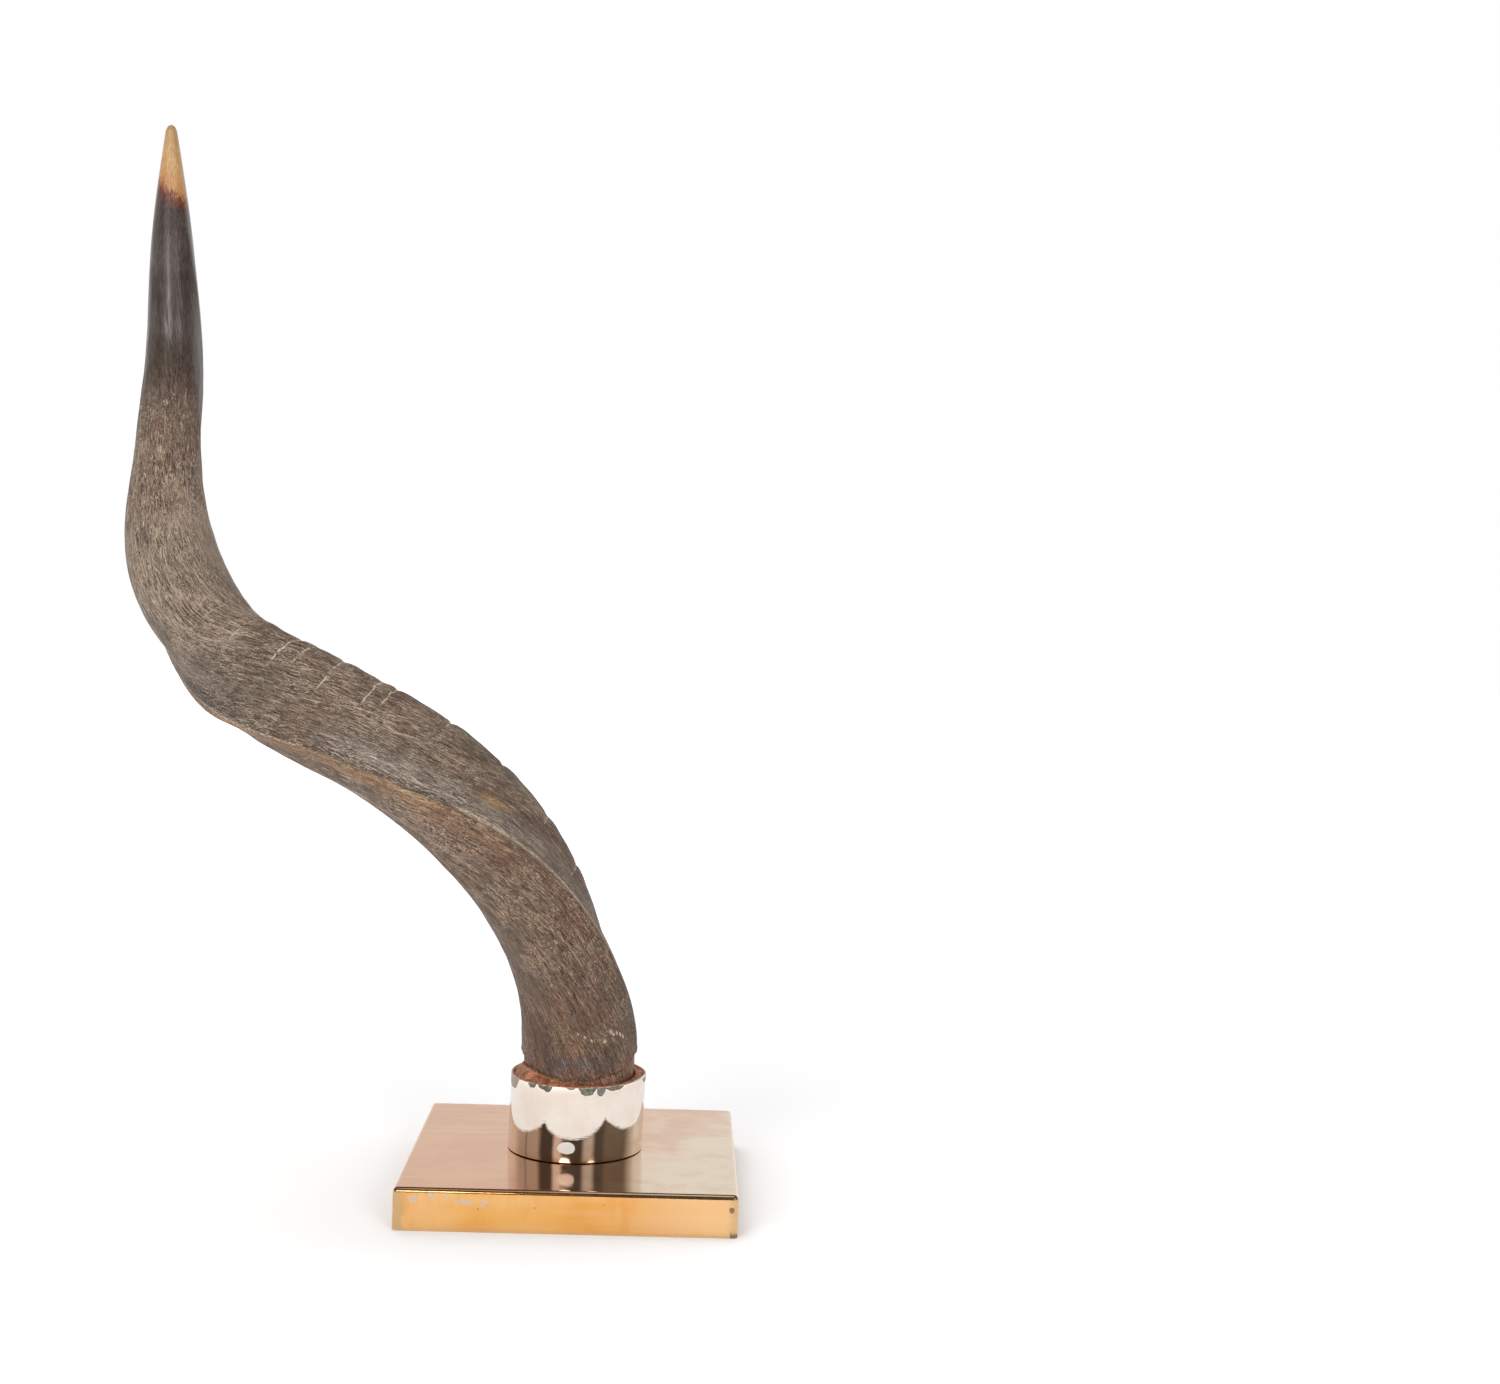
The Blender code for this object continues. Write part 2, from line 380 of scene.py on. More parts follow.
def new_piece(name, mesh, finish, node):
    """A finished piece at the origin that stands for a CAD node."""
    piece = put(name, mesh)
    mesh.materials.clear()
    mesh.materials.append(finish)
    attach(piece, "root")
    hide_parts(node)
    return piece


def plain_mesh(thing, name):
    """The mesh that an object's modifiers make. The object is removed."""
    graph = bpy.context.evaluated_depsgraph_get()
    mesh = bpy.data.meshes.new_from_object(thing.evaluated_get(graph), depsgraph=graph)
    mesh.name = name
    bpy.data.objects.remove(thing, do_unlink=True)
    return mesh


def mesh_of(form, name):
    """A mesh from a bmesh, which is freed."""
    mesh = bpy.data.meshes.new(name)
    form.to_mesh(mesh)
    form.free()
    return mesh


def merged_copy(node, name):
    """A copy of a CAD node's mesh with its loose triangles joined."""
    form = bmesh.new()
    form.from_mesh(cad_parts[node].data)
    bmesh.ops.remove_doubles(form, verts=form.verts, dist=0.01 * MM)
    return mesh_of(form, name)


# Horn

def middle_line():
    """The horn's rows at even steps along a natural cubic, and how far along each is in millimetres."""
    rows = np.array(HORN_STATIONS, float)
    spans = np.linalg.norm(np.diff(rows[:, :3], axis=0), axis=1)
    x = np.concatenate([[0], np.cumsum(spans)])
    last = len(x) - 1
    slope = np.diff(rows, axis=0) / spans[:, None]
    matrix = np.eye(last + 1)
    wanted = np.zeros_like(rows)
    for i in range(1, last):
        matrix[i, i - 1:i + 2] = spans[i - 1], 2 * (spans[i - 1] + spans[i]), spans[i]
        wanted[i] = 6 * (slope[i] - slope[i - 1])
    bend = np.linalg.solve(matrix, wanted)
    along = np.linspace(0, x[-1], MIDDLE_LINE_POINTS)
    i = np.clip(np.searchsorted(x, along) - 1, 0, last - 1)
    step = spans[i]
    after = ((along - x[i]) / step)[:, None]
    before = 1 - after
    curved = (before**3 - before) * bend[i] + (after**3 - after) * bend[i + 1]
    return before * rows[i] + after * rows[i + 1] + curved * step[:, None]**2 / 6, along


def middle_line_mesh():
    """The middle line as a chain of edges. Its points carry the section's sizes and turn as attributes."""
    rows, along = middle_line()
    mesh = bpy.data.meshes.new("horn_middle_line")
    count = len(rows)
    mesh.from_pydata((rows[:, :3] * MM).tolist(), [(i, i + 1) for i in range(count - 1)], [])
    section = np.stack([rows[:, 3] * MM, rows[:, 4] * MM, rows[:, 6]], axis=1)
    keel = np.radians(rows[:, 5])
    share = np.clip((along - DRIFT_FROM) / (DRIFT_FULL - DRIFT_FROM), 0, 1)
    drift = np.cumsum(np.gradient(keel) * DRIFT_SHARE * share)
    twist = np.stack([keel, along * MM, drift], axis=1)
    for name, values in (("section", section), ("twist", twist)):
        attribute = mesh.attributes.new(name, "FLOAT_VECTOR", "POINT")
        attribute.data.foreach_set("vector", values.ravel().astype(np.float32))
    return mesh, along[-1]


def horn_tree():
    """Geometry nodes that wrap a grid round the middle line by the section's rule."""
    tree = bpy.data.node_groups.new("grow_horn", "GeometryNodeTree")
    face = tree.interface
    face.new_socket(name="Geometry", in_out="INPUT", socket_type="NodeSocketGeometry")
    for name, kind in (("Sides", "Int"), ("Rings", "Int"), ("Oval Turn", "Float"), ("Length", "Float"),
                       ("Tip Rounding", "Float"), ("Ledge Depth", "Float"), ("Ledge Along", "Float"),
                       ("Growth Depth", "Float"), ("Fibre Depth", "Float"), ("Skin", "Float"),
                       ("Finish", "Material")):
        face.new_socket(name=name, in_out="INPUT", socket_type="NodeSocket" + kind)
    face.new_socket(name="Geometry", in_out="OUTPUT", socket_type="NodeSocketGeometry")

    net = Net(tree)
    given = net.add("NodeGroupInput")
    line = net.add("GeometryNodeMeshToCurve", None, {"Mesh": given.out("Geometry")})
    grid = net.add("GeometryNodeMeshGrid", None, {
        "Size X": 1.0, "Size Y": 1.0, "Vertices X": given.out("Sides") + 1, "Vertices Y": given.out("Rings")})
    across, up, _ = parts(net.add("GeometryNodeInputPosition"))
    turn = (across + 0.5) * (2 * math.pi)
    degrees = (across + 0.5) * 360
    up = up + 0.5
    # Rings stand closer together at the root and the tip
    share = up - net.math("SINE", up * (2 * math.pi)) * (RING_CROWDING / (2 * math.pi))

    def on_line(name):
        value = net.add("GeometryNodeInputNamedAttribute", {"data_type": "FLOAT_VECTOR"}, {"Name": name})
        return net.add("GeometryNodeSampleCurve", {"mode": "FACTOR", "data_type": "FLOAT_VECTOR"},
                       {"Curves": line, "Value": value, "Factor": share})

    section = on_line("section")
    half_long, half_flat, strength = parts(section)
    keel, along, drift = parts(on_line("twist"))
    place, tangent = section.out("Position"), section.out("Tangent")
    front = net.vector(0.0, -1.0, 0.0)
    lean = net.add("ShaderNodeVectorMath", {"operation": "DOT_PRODUCT"}, {0: front, 1: tangent}).out("Value")
    front = net.arrow("NORMALIZE", net.arrow("SUBTRACT", front, net.scaled(tangent, lean)))
    side = net.arrow("CROSS_PRODUCT", tangent, front)

    oval_turn = turn + given.out("Oval Turn")
    oval = 1 / net.math("SQRT", (net.math("COSINE", oval_turn) / half_long) ** 2
                        + (net.math("SINE", oval_turn) / half_flat) ** 2)

    def forms(rows):
        found = 0.0
        for past_keel, spread, height in rows:
            found = net.math("EXPONENT", -((short_way(degrees, past_keel) / spread) ** 2)) * height + found
        return found

    raised = forms(SECTION_FORMS)
    raised = raised + forms(CREST_FORMS) * window(along * 1000, CREST_START, CREST_END, CREST_FADE)
    radius = oval * (1 + strength * raised)

    # Surface: growth lines, fibres and low lumps, mostly cut inwards
    round_x, round_y = net.math("COSINE", turn + drift), net.math("SINE", turn + drift)
    far = along * 1000
    flat = net.vector(round_x * 1.6, round_y * 1.6, far * 0.018)
    lumps = cloud(flat, 1.0, 3.0, 0.55)
    fibres = cloud(net.vector(round_x * 24, round_y * 24, far * 0.05), 1.0, 4.0, 0.6)
    wander = (cloud(net.vector(round_x * 5, round_y * 5, far * 0.02), 1.0, 2.0, 0.5) - 0.5) * GROWTH_WANDER
    steps = 0.0
    for line_along, start, end in GROWTH_LINES:
        past = far - line_along + wander
        notch = rise(abs(past), 2.4, 0.0)
        swell = rise(abs(past + 7), 7.0, 0.0) * 0.45
        steps = (notch - swell) * sector(degrees, start, end, 16) + steps
    ragged = cloud(net.vector(round_x * 3, round_y * 3, 0.0), 1.0, 4.0, 0.7)
    ledge_line = given.out("Ledge Along") + (ragged - 0.5) * LEDGE_RAGGED
    sideways = net.math("COSINE", turn + math.radians(LEDGE_SIDE)) ** 2 * 0.8 + 0.2
    under_ledge = rise((ledge_line - along) * 1000, -0.5, 0.5)
    body = radius - given.out("Skin")
    body = body - given.out("Ledge Depth") * under_ledge * sideways
    lip = window((along - ledge_line) * 1000, 0.6, 1.6, 1.2)
    body = body + lip * LEDGE_LIP * sideways * rise(fibres, 0.4, 0.6)
    body = body - given.out("Growth Depth") * steps
    body = body - given.out("Fibre Depth") * rise(fibres, 0.75, 0.3) * rise(along, 0.76, 0.60)
    body = body - rise(lumps, 0.3, 0.7) * LUMP_DEPTH * rise(along, 0.74, 0.56)

    into_tip = most((along - (given.out("Length") - given.out("Tip Rounding")))
                    / given.out("Tip Rounding"), 0.0)
    narrowing = net.math("SQRT", most(1 - into_tip ** 2, 0.0))
    body = body * narrowing * net.math("GREATER_THAN", up, 0.0001)
    reach = turn + keel
    outward = net.arrow("ADD", net.scaled(front, net.math("COSINE", reach)),
                        net.scaled(side, net.math("SINE", reach)))
    surface = net.arrow("ADD", place, net.scaled(outward, body))

    thick = (half_long + half_flat) / (2 * THICK_SECTION * MM)
    stored = {"grain": net.vector(round_x * thick, round_y * thick, along),
              "past_keel": net.vector(net.math("COSINE", turn), net.math("SINE", turn), ledge_line - along)}
    made = grid
    for name, value in stored.items():
        made = net.add("GeometryNodeStoreNamedAttribute", {"data_type": "FLOAT_VECTOR", "domain": "POINT"},
                       {"Geometry": made, "Name": name, "Value": value})
    made = net.add("GeometryNodeSetPosition", None, {"Geometry": made, "Position": surface})
    made = net.add("GeometryNodeMergeByDistance", None, {"Geometry": made, "Distance": 0.005 * MM})
    made = net.add("GeometryNodeSetShadeSmooth", None, {"Geometry": made, "Shade Smooth": True})
    made = net.add("GeometryNodeRealizeInstances", None, {"Geometry": made})
    made = net.add("GeometryNodeSetMaterial", None, {"Geometry": made, "Material": given.out("Finish")})
    net.add("NodeGroupOutput", None, {"Geometry": made})
    return tree


def horn_finish(look):
    """Fibrous horn: streaks along the twist, an ochre keel, pale cracks, a glossy end and an ivory tip."""
    material, net, shader = new_finish("horn_keratin", {
        "IOR": 1.5, "Specular IOR Level": 0.28, "Coat Roughness": 0.23, "Coat IOR": 1.54})
    grain = net.add("ShaderNodeAttribute", {"attribute_name": "grain"}).out("Vector")
    spot = net.add("ShaderNodeTexCoord").out("Object")
    round_x, round_y, along = parts(grain)
    along = along * 1000
    past_keel = net.add("ShaderNodeAttribute", {"attribute_name": "past_keel"}).out("Vector")
    keel_x, keel_y, under = parts(past_keel)
    angle = net.math("ARCTAN2", keel_y, keel_x) * (180 / math.pi)
    under = under * 1000

    # Streaks wander a little, so they don't run dead straight
    bent = net.vector(round_x * 3, round_y * 3, along * 0.03)
    sway = net.add("ShaderNodeTexNoise", None, {"Vector": bent, "Scale": 1.0, "Detail": 3.0}).out("Color")
    sway_x, sway_y, _ = parts(sway)
    x = round_x + (sway_x - 0.5) * 0.14
    y = round_y + (sway_y - 0.5) * 0.14

    def streaks(across, lengthwise, detail=1.0, roughness=0.5, distortion=0.0):
        place = net.vector(x * across, y * across, along * lengthwise)
        return cloud(place, 1.0, detail, roughness, distortion)

    broad = streaks(7, 0.03, 3)
    strands = streaks(19, 0.035, 2.0, 0.6)
    long_fibres = streaks(72, 0.075, 1.0)
    fine_fibres = streaks(108, 0.17, 0.5)
    flecks = streaks(66, 1.15, 1.0, 0.5, 0.6)
    nicks = streaks(42, 0.6, 3, 0.7)
    threads = rise(abs(streaks(22, 0.07, 1.0) - 0.5), 0.080, 0.030)
    thin_threads = rise(abs(streaks(34, 0.12, 1.0) - 0.5), 0.105, 0.045)
    furrows = rise(abs(streaks(26, 0.05, 1.0, 0.5, 0.2) - 0.5), 0.080, 0.030)
    clouds = cloud(spot, 17.0, 3.0, 0.6)
    patches = cloud(spot, 42.0, 4.0, 0.6)
    worn = cloud(spot, 24.0, 4.0, 0.65)

    def shades(dark, middle, light):
        dim = tuple((d + 2 * m) / 3 for d, m in zip(dark, middle))
        bright = tuple((2 * m + n) / 3 for m, n in zip(middle, light))
        return ramp(shade, (0.14, dark), (0.38, dim), (0.54, middle), (0.70, bright), (0.92, light))

    def marks(rows, ragged):
        found = 0.0
        for place, degrees, half in rows:
            across = short_way(angle, degrees) * (THICK_SECTION * math.pi / 180)
            away = net.math("SQRT", ((along - place) * 0.6) ** 2 + across ** 2) / half
            found = most(rise(away + (ragged - 0.5) * 2.4, 1.15, 0.75), found)
        return found

    upper = rise(along, 545, 600)
    low = rise(along, 300, 110)
    shade = (0.485 + (long_fibres - 0.5) * (0.80 - upper * 0.3 - low * 0.25)
             + (fine_fibres - 0.5) * (1.2 - low * 0.25) + (flecks - 0.5) * (0.4 - low * 0.15)
             + (broad - 0.5) * 0.25 + (strands - 0.5) * (0.55 + low * 0.15) + (patches - 0.5) * 0.1
             - upper * 0.04 - rise(along, 585, 635) * 0.16 - window(along, 370, 540, 40) * 0.025
             - furrows * rise(worn, 0.42, 0.56) * rise(along, 460, 400) * 0.14)
    colour = over(
        shades(look.dark_fibre, look.fibre, look.pale_fibre),
        (rise(clouds, 0.52, 0.66) * 0.5, shades(tone(50, 31, 25), tone(96, 68, 55), tone(176, 140, 118))),
        (rise(clouds, 0.48, 0.34) * 0.45, shades(tone(46, 40, 35), tone(90, 79, 69), tone(177, 161, 144))),
    )

    # Lower half browner, with redder fibres and slate patches close above the rim, and painted shade just
    # below the ledge
    warm = window(along, 45, 100, 30) * rise(streaks(9, 0.05, 3), 0.42, 0.58)
    at_front = window(short_way(angle, -86), -34, 36, 12)
    slate = window(along, 53, 64, 5) * at_front * rise(streaks(6, 0.06, 4, 0.65), 0.40, 0.52)
    red = rise(along, 66, 50) * rise(streaks(6, 0.05, 3), 0.72, 0.52) * (1 - slate * 0.6)
    colour = over(
        colour,
        (low * (0.35 + 0.5 * rise(patches, 0.38, 0.62)),
         shades(tone(46, 29, 22), look.rust, tone(164, 128, 101))),
        (low * rise(worn, 0.50, 0.40) * 0.5, shades(tone(43, 34, 27), tone(89, 72, 57), tone(160, 137, 111))),
        (warm * 0.6, shades(tone(48, 30, 22), tone(106, 72, 54), tone(182, 138, 104))),
        (slate * 0.75, shades(tone(40, 33, 32), look.slate, tone(216, 204, 196))),
        (red * 0.85, shades(tone(58, 30, 22), tone(122, 74, 55), tone(214, 160, 122))),
        # Painted shade: a dark band just below the ledge where the outer layer ends
        (window(under, 0.2, 2.0, 0.7) * 0.5, tone(40, 28, 23)),
    )

    # Keel: an ochre band under its crest, painted shade in the crease over it and a pale painted sheen in the
    # groove beyond
    beside = angle - rise(along, 350, 425) * 11
    frayed = beside + (long_fibres - 0.5) * 9 + (fine_fibres - 0.5) * 5
    band = window(frayed, -19, -5, 5) * window(along, 235, 440, 50)
    brown = window(frayed, -30, -4, 10) * window(along, 130, 235, 40) * rise(worn, 0.40, 0.54)
    sheen = window(frayed, 6, 24, 8) * window(along, 205, 300, 45)
    # Painted shade: the crease over the keel's crest is darkened, where shade falls
    crease_shade = window(frayed, 0, 2, 2.5) * window(along, 200, 445, 40)
    crease_shade = most(crease_shade, window(frayed, 2, 10, 5) * window(along, 385, 450, 25))
    chafed = rise(nicks, 0.48, 0.58)
    worn_edge = hill(angle, 0.8, 1.8) * window(along, 125, 232, 12) * (0.3 + 0.7 * chafed)
    worn_edge = most(worn_edge, hill(beside, -3.5, 1.2) * window(along, 335, 430, 15) * chafed)
    under_edge = hill(angle, -47, 3.5) * window(along, 245, 345, 40) * rise(long_fibres, 0.42, 0.55)
    honey = hill(angle, 28, 6) * hill(along, 224, 8) * rise(nicks, 0.46, 0.56)
    colour = over(
        colour,
        (band * 0.8, shades(tone(66, 42, 27), look.ochre, tone(196, 156, 112))),
        (brown * 0.6, shades(tone(46, 27, 20), tone(98, 64, 47), tone(168, 122, 90))),
        (sheen * 0.5, shades(tone(54, 48, 46), tone(116, 106, 99), tone(212, 200, 188))),
        (crease_shade * 0.6, tone(42, 32, 28)),
        (worn_edge * 0.75, tone(212, 194, 170)),
        (under_edge * 0.6, tone(164, 148, 134)),
        (honey * 0.85, tone(186, 136, 70)),
    )

    # Crosswise growth cracks, pale and broken
    wander = (cloud(net.vector(keel_x * 5, keel_y * 5, along * 0.02), 1.0, 2.0, 0.5) - 0.5) * GROWTH_WANDER
    wander = wander + (flecks - 0.5) * 1.2
    broken = rise(cloud(net.vector(x * 9, y * 9, along * 0.12), 1.0, 3.0, 0.7), 0.36, 0.52)
    cracks = 0.0
    for line_along, start, end in GROWTH_LINES:
        line = rise(abs(along - line_along + wander), 0.65, 0.1)
        cracks = line * sector(angle, start, end, 10) + cracks
    cracks = cracks * broken

    # Fine hairlines: crosswise rows towards the tip, a criss-cross patch at the bend and a few elsewhere
    at_bend = window(short_way(angle, 132), -46, 46, 14) * window(along, 405, 500, 25)
    bend = most(at_bend, window(along, 430, 560, 30) * rise(worn, 0.48, 0.56))
    rows = window(along, 515, 592, 18) * rise(worn, 0.44, 0.56)
    crossing = cloud(net.vector(x * 5, y * 5, along * 0.62), 1.0, 1.0, 0.5, 0.4)
    lengthwise = abs(streaks(19, 0.035, 0.5) - 0.5)
    dashes = (rise(streaks(60, 0.12, 0.5), 0.56, 0.68) * window(along, 485, 605, 15)
              * rise(cloud(net.vector(x * 5, y * 5, along * 0.15), 1.0, 2.0, 0.5), 0.50, 0.60))
    curved = cloud(net.vector(x * 13 - along * 0.16, y * 13, along * 0.42 + 7), 1.0, 1.0, 0.5, 0.3)
    hairs = (rise(abs(crossing - 0.5), 0.070, 0.020) * most(rows * 0.85, bend * 0.3)
             + rise(abs(curved - 0.5), 0.030, 0.008) * (bend * 0.6 + 0.12))
    hairs = least(hairs, 1.0) * rise(nicks, 0.46, 0.58)
    hairs = most(hairs, rise(lengthwise, 0.065, 0.020) * bend * rise(nicks, 0.38, 0.52) * 0.65)
    hairs = most(hairs, dashes * 0.8)

    # Pale specks and threads, with the cracks, hairlines and chips laid over in one tone
    specks = rise(flecks + (nicks - 0.5) * 0.8, 0.66, 0.78) * (0.2 + 0.8 * rise(worn, 0.46, 0.60))
    threads = most(threads * rise(nicks, 0.50, 0.60), thin_threads * rise(nicks, 0.50, 0.41))
    threads = threads * (1 - upper * 0.6) * (0.35 + 0.65 * rise(patches, 0.42, 0.56))
    pale = most(most(cracks * 0.95, hairs * 0.75),
                most(specks * 0.5, marks(CHIPS, fine_fibres) * 1.05))
    pale = most(pale, threads * 0.55)
    pale = least(pale, 1.0) * rise(along, 665, 600)
    # Painted sheen: the smooth face past the bend is painted lighter; it also gets a lower roughness
    smooth = window(along, 425, 505, 30) * window(short_way(angle, -142), -16, 24, 20)
    rubbed_pale = window(along, 470, 580, 25) * rise(cloud(spot, 62.0, 2.0, 0.5), 0.56, 0.66)
    colour = over(
        colour,
        (pale * 0.9, tone(208, 191, 169)),
        (smooth * 0.4, tone(140, 122, 106)),
        (rubbed_pale * 0.28, tone(150, 130, 110)),
    )

    # Far end: rubbed dark and glossy, then ivory with a ragged, rust-coloured edge
    rubbed = along + (long_fibres - 0.5) * 50 + (patches - 0.5) * 60 + (fine_fibres - 0.5) * 30
    gloss = rise(rubbed, 590, 668)
    dark = ramp(long_fibres * 0.4 + clouds * 0.3 + patches * 0.3,
                (0.35, tone(32, 24, 22)), (0.5, look.tip_dark), (0.64, tone(80, 71, 68)))
    edge_turn = net.math("COSINE", (angle - 40) * (math.pi / 180))
    ragged = along + edge_turn * 7 + (long_fibres - 0.5) * 18 + (fine_fibres - 0.5) * 8
    rust = rise(ragged, 736, 750)
    ivory = rise(ragged, 746, 755)
    bone = ramp(fine_fibres * 0.4 + long_fibres * 0.6,
                (0.28, tone(138, 100, 58)), (0.5, look.tip_ivory), (0.78, tone(196, 164, 118)))
    bone = over(
        bone,
        (rise(along, 770, 789) * 0.6, tone(150, 122, 88)),
        (rise(ragged, 768, 756) * 0.5, tone(168, 112, 66)),
    )
    colour = over(colour, (gloss * 0.94, dark), (rust, tone(104, 50, 30)), (ivory, bone))

    roughness = 0.58 + (fine_fibres - 0.5) * 0.5 + (long_fibres - 0.5) * 0.3 - sheen * 0.1 - smooth * 0.1
    roughness = roughness * (1 - gloss) + (0.32 + (patches - 0.5) * 0.3 + (long_fibres - 0.5) * 0.2) * gloss
    waxed = gloss * rise(cloud(net.vector(x * 6, y * 6, along * 0.03), 1.0, 3.0, 0.6), 0.24, 0.50)
    height = (long_fibres * 0.9 + fine_fibres * 0.6 + flecks * 0.3) * (1 - gloss * 0.9) - pale * 0.2
    feed(shader, Base_Color=colour, Roughness=most(least(roughness, 0.9), 0.15),
         Coat_Weight=waxed * 0.8, Normal=relief(height, 0.8 * MM))
    return material


class HornSettings(bpy.types.PropertyGroup):
    """The horn's build and colours."""

    sides: count_choice("Sides", "Faces round the horn", 240, 24, 240)
    rings: count_choice("Rings", "Sections along the horn", 410, 40, 410)
    fibre_depth: length_choice("Fibre depth", "Depth of the coarse fibre furrows", 0.14 * MM)
    growth_depth: length_choice("Growth line depth", "Depth of the growth lines", 1.0 * MM)
    ledge_depth: length_choice("Ledge depth", "Step where the outer layer ends", 1.6 * MM)
    tip_rounding: length_choice("Tip rounding", "Length of the rounded tip", 5.0 * MM, 0.001)
    oval_turn: bpy.props.FloatProperty(name="Oval turn", default=math.radians(50), subtype="ANGLE",
                                       description="Angle from the keel to the section's long way")
    fibre: colour_choice("Fibre", "Main colour of the horn", 98, 78, 65)
    dark_fibre: colour_choice("Dark fibre", "Colour deep between the fibres", 42, 32, 26)
    pale_fibre: colour_choice("Pale fibre", "Colour of worn fibres", 196, 173, 149)
    ochre: colour_choice("Ochre", "Band under the keel's crest", 128, 95, 65)
    rust: colour_choice("Rust", "Redder fibres near the root", 98, 71, 54)
    slate: colour_choice("Slate", "Grey patches above the ferrule", 90, 79, 75)
    tip_dark: colour_choice("Dark end", "Rubbed, glossy part below the tip", 51, 42, 39)
    tip_ivory: colour_choice("Ivory tip", "Pale tip", 172, 135, 88)


class MOUNT_OT_horn(bpy.types.Operator):
    """Grow the horn round its middle line"""

    bl_idname = "mount.horn"
    bl_label = "Grow the horn"

    def execute(self, context):
        look = context.scene.horn_look
        mesh, length = middle_line_mesh()
        line = put("horn_middle_line", mesh)
        tree = horn_tree()
        grow = line.modifiers.new("grow", "NODES")
        grow.node_group = tree
        finish = horn_finish(look)
        values = {"Sides": look.sides, "Rings": look.rings, "Oval Turn": look.oval_turn,
                  "Length": length * MM, "Tip Rounding": look.tip_rounding, "Ledge Depth": look.ledge_depth,
                  "Ledge Along": LEDGE_ALONG * MM, "Growth Depth": look.growth_depth,
                  "Fibre Depth": look.fibre_depth, "Skin": SKIN, "Finish": finish}
        for item in tree.interface.items_tree:
            if item.in_out == "INPUT" and item.name in values:
                grow[item.identifier] = values[item.name]
        grown = plain_mesh(line, "horn_sheath")
        new_piece("horn_sheath", grown, finish, "horn")
        return {"FINISHED"}


# Ferrule and its filling

def turned_mesh(name, profile, sides, lean):
    """A ring of (radius, height) points turned round +Z. It slides by lean in +X for each unit of height."""
    form = bmesh.new()
    base = profile[0][1]
    columns = []
    for k in range(sides):
        turn = 2 * math.pi * k / sides
        columns.append([form.verts.new((r * math.cos(turn) + (h - base) * lean, r * math.sin(turn), h))
                        for r, h in profile])
    for k in range(sides):
        here, there = columns[k], columns[(k + 1) % sides]
        for i in range(len(profile)):
            j = (i + 1) % len(profile)
            form.faces.new((here[i], there[i], there[j], here[j]))
    bmesh.ops.recalc_face_normals(form, faces=form.faces)
    mesh = mesh_of(form, name)
    mesh.shade_smooth()
    mesh.set_sharp_from_angle(angle=math.radians(50))
    return mesh


def nickel_finish(look):
    """Polished white metal with old tarnish in scallops below the rim, faint polishing lines and a pale
    painted highlight on the front.
    """
    material, net, shader = new_finish("polished_nickel", {"Metallic": 1.0})
    low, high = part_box("ferrule")
    spot = net.add("ShaderNodeTexCoord").out("Object")
    x, y, z = parts(spot)
    x = x - (low.x + high.x) / 2
    reach = net.math("SQRT", x ** 2 + y ** 2)
    round_x, round_y = x / reach, y / reach
    below_rim = (high.z - z) * 1000
    round_angle = net.math("ARCTAN2", x, -y) * (180 / math.pi)
    ragged = cloud(spot, 420.0, 3.0, 0.6)
    coarse = cloud(spot, 130.0, 3.0, 0.6)
    depth = 0.0
    for middle, half_wide, deep in SCALLOPS:
        away = short_way(round_angle, middle) / half_wide + (coarse - 0.5) * 1.1
        depth = most((1 - least(abs(away), 2.0) ** 3) * deep, depth)
    depth = depth + (ragged - 0.5) * 2.0
    tarnish = rise(depth - below_rim, -0.12, 0.2) * rise(below_rim, 0.5, 0.9)
    edge = hill(depth - below_rim, 0.25, 0.45)
    smudge = cloud(spot, 60.0, 3.0, 0.6)
    lines = cloud(net.vector(round_x * 2.5, round_y * 2.5, z * 1600), 1.0, 3.0, 0.6)
    specks = rise(cloud(spot, 900.0, 2.0, 0.5), 0.70, 0.76)
    metal = mix(rise(smudge, 0.35, 0.7), look.nickel, tone(226, 212, 198))
    metal = mix(specks * 0.35, metal, tone(140, 120, 104))
    stain = ramp(ragged * 0.6 + smudge * 0.4, (0.35, tone(62, 60, 56)), (0.5, look.tarnish),
                 (0.68, tone(150, 148, 134)))
    stain = mix(edge * 0.6, stain, tone(50, 46, 43))
    colour = mix(tarnish, metal, stain)
    bruise = window(round_angle, -92, -56, 5) * tarnish
    colour = mix(bruise * 0.85, colour, tone(158, 134, 122))
    smear = rise(below_rim + (ragged - 0.5) * 1.6, 0.75, 0.45) * rise(abs(round_angle - 66), 10, 26)
    colour = mix(smear * 0.9, colour, ramp(ragged, (0.4, tone(120, 66, 40)), (0.6, tone(190, 112, 70))))
    # Painted highlight: a pale, rough oval spot on the front, standing in for a bright reflection
    away = net.math("SQRT", ((round_angle + 5) * 0.74 / 5.2) ** 2 + ((below_rim - 38) / 3.6) ** 2)
    painted_highlight = rise(away + (coarse - 0.5) * 0.7, 1.1, 0.9)
    polish = 0.022 + rise(smudge, 0.5, 0.75) * 0.03 + (lines - 0.5) * 0.02
    covered = most(tarnish, smear)
    roughness = polish * (1 - covered) + 0.36 * covered + painted_highlight * 0.5
    colour = mix(painted_highlight, colour, tone(238, 232, 226))
    feed(shader, Base_Color=colour, Roughness=roughness,
         Metallic=1 - most(most(smear * 0.9, tarnish * 0.8), painted_highlight * 0.85),
         Normal=relief(lines * 0.2 + smudge * 1.2 - tarnish * 0.3, 0.05 * MM))
    return material


